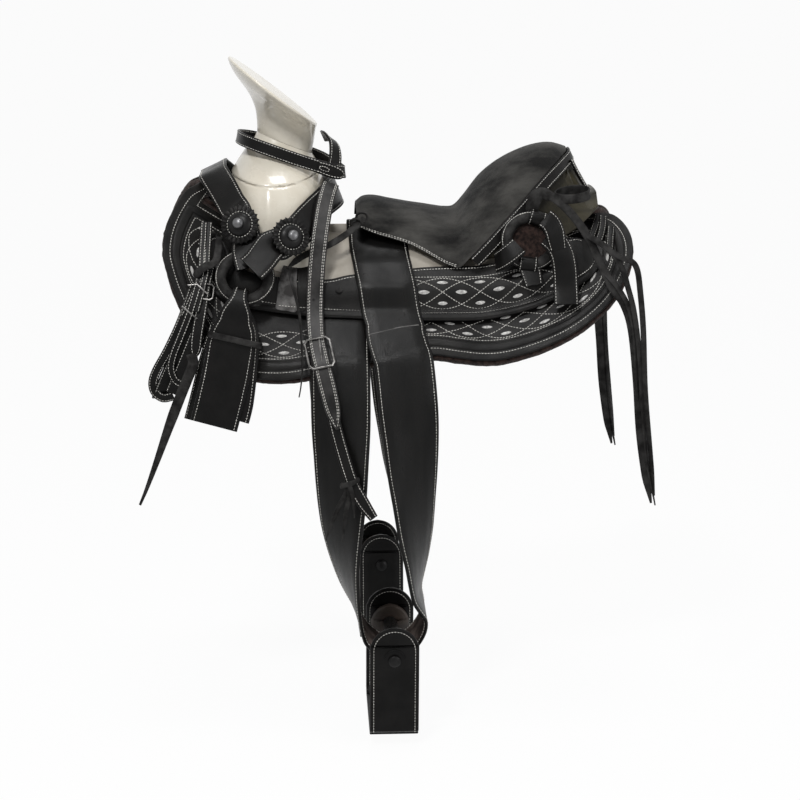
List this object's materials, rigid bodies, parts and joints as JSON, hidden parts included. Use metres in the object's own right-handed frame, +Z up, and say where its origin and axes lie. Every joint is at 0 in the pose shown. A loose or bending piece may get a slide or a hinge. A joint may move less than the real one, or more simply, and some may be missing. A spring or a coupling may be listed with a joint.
{
  "type": "stock saddle",
  "caption": "Charro stock saddle with a plate horn on a cream wooden fork, dished suede seat, stitched skirts, rigging rings, hanging straps and wide twisted stirrup leathers.",
  "frame": {"origin": "on the saddle's centre plane at mid length, where the two flat bearing faces of the linings would meet", "axes": "+X from the horn to the cantle, -Y the near (left) side, +Z up"},
  "size_m": [0.7469, 0.5832, 0.9477],
  "materials": {
    "cream_lacquered_wood": "gloss cream lacquer",
    "olive_cantle_leather": "dark olive leather over wood",
    "grey_suede": "mottled grey-black suede",
    "black_leather": "smooth black strap leather, white stitched",
    "black_skirt_leather": "black skirting leather with stitched diamonds",
    "black_stirrup_leather": "smooth waxed black harness leather",
    "grey_thong_leather": "soft dark grey lace leather",
    "brown_felt": "thick brown wool felt",
    "dark_steel": "dark forged steel",
    "bright_wire": "bright steel wire",
    "stirrup_wood": "plain bent wood"
  },
  "bodies": {
    "saddle": {"horn": "cream_lacquered_wood", "fork": "cream_lacquered_wood", "cantle": "olive_cantle_leather", "seat_cover": "grey_suede", "cantle_binding": "black_leather", "fork_strap_front": "black_leather", "fork_strap_rear": "black_leather", "horn_loop": "black_leather", "hang_strap_loop": "black_leather", "strap_bundle": "black_leather", "bundle_billet": "black_leather", "bundle_buckle": "bright_wire", "bundle_thong": "grey_thong_leather", "seat_lace": "grey_thong_leather", "bar_left": "cream_lacquered_wood", "lining_left": "brown_felt", "basto_left": "black_skirt_leather", "upper_skirt_left": "black_skirt_leather", "rosette_front_left": "black_leather", "rosette_rear_left": "black_leather", "concho_front_left": "dark_steel", "concho_rear_left": "dark_steel", "front_ring_left": "black_leather", "rear_ring_left": "black_leather", "rear_strap_front_left": "black_leather", "rear_strap_rear_left": "black_leather", "rear_bow_left": "grey_thong_leather", "rear_string_left": "grey_thong_leather", "stirrup_leather_upper_left": "black_stirrup_leather", "bar_right": "cream_lacquered_wood", "lining_right": "brown_felt", "basto_right": "black_skirt_leather", "upper_skirt_right": "black_skirt_leather", "rosette_front_right": "black_leather", "rosette_rear_right": "black_leather", "concho_front_right": "dark_steel", "concho_rear_right": "dark_steel", "front_ring_right": "black_leather", "rear_ring_right": "black_leather", "rear_strap_front_right": "black_leather", "rear_strap_rear_right": "black_leather", "rear_bow_right": "grey_thong_leather", "rear_string_right": "grey_thong_leather", "stirrup_leather_upper_right": "black_stirrup_leather"},
    "hang_strap": {"hang_strap": "black_leather", "hang_strap_buckle": "bright_wire", "hang_strap_tail": "black_leather", "tail_tie": "grey_thong_leather"},
    "leather_left": {"stirrup_leather_left": "black_stirrup_leather"},
    "stirrup_left": {"stirrup_cover_left": "black_leather", "stirrup_frame_left": "stirrup_wood", "stirrup_bolt_left": "dark_steel"},
    "latigo_left": {"latigo_left": "black_leather", "latigo_keeper_left": "grey_thong_leather"},
    "leather_right": {"stirrup_leather_right": "black_stirrup_leather"},
    "stirrup_right": {"stirrup_cover_right": "black_leather", "stirrup_frame_right": "stirrup_wood", "stirrup_bolt_right": "dark_steel"},
    "latigo_right": {"latigo_right": "black_leather", "latigo_keeper_right": "grey_thong_leather"}
  },
  "joints": [
    {"name": "stirrup_leather_swing_left", "type": "hinge", "parent": "saddle", "child": "leather_left", "pos_m": [-0.04, -0.1654, -0.10588], "axis": [-1, 0, 0], "range_deg": [0, 60]},
    {"name": "stirrup_pivot_left", "type": "hinge", "parent": "leather_left", "child": "stirrup_left", "pos_m": [-0.0225, -0.212, -0.56], "axis": [0, -0.9945, -0.1045], "range_deg": [-40, 40]},
    {"name": "latigo_swing_left", "type": "hinge", "parent": "saddle", "child": "latigo_left", "pos_m": [-0.2362, -0.1711, -0.0674], "axis": [-0.9726, 0.1251, 0.1959], "range_deg": [0, 70]},
    {"name": "stirrup_leather_swing_right", "type": "hinge", "parent": "saddle", "child": "leather_right", "pos_m": [-0.04, 0.1654, -0.10588], "axis": [1, 0, 0], "range_deg": [0, 60]},
    {"name": "stirrup_pivot_right", "type": "hinge", "parent": "leather_right", "child": "stirrup_right", "pos_m": [-0.0225, 0.212, -0.56], "axis": [0, 0.9945, -0.1045], "range_deg": [-40, 40]},
    {"name": "latigo_swing_right", "type": "hinge", "parent": "saddle", "child": "latigo_right", "pos_m": [-0.2362, 0.1711, -0.0674], "axis": [0.9726, 0.1251, -0.1959], "range_deg": [0, 70]},
    {"name": "hang_strap_swing", "type": "hinge", "parent": "saddle", "child": "hang_strap", "pos_m": [-0.104, -0.0668, 0.085], "axis": [-1, 0, 0], "range_deg": [0, 60]}
  ],
  "couplings": [
    {"joint": "hang_strap_swing", "follows": "stirrup_leather_swing_left", "ratio": 1}
  ]
}
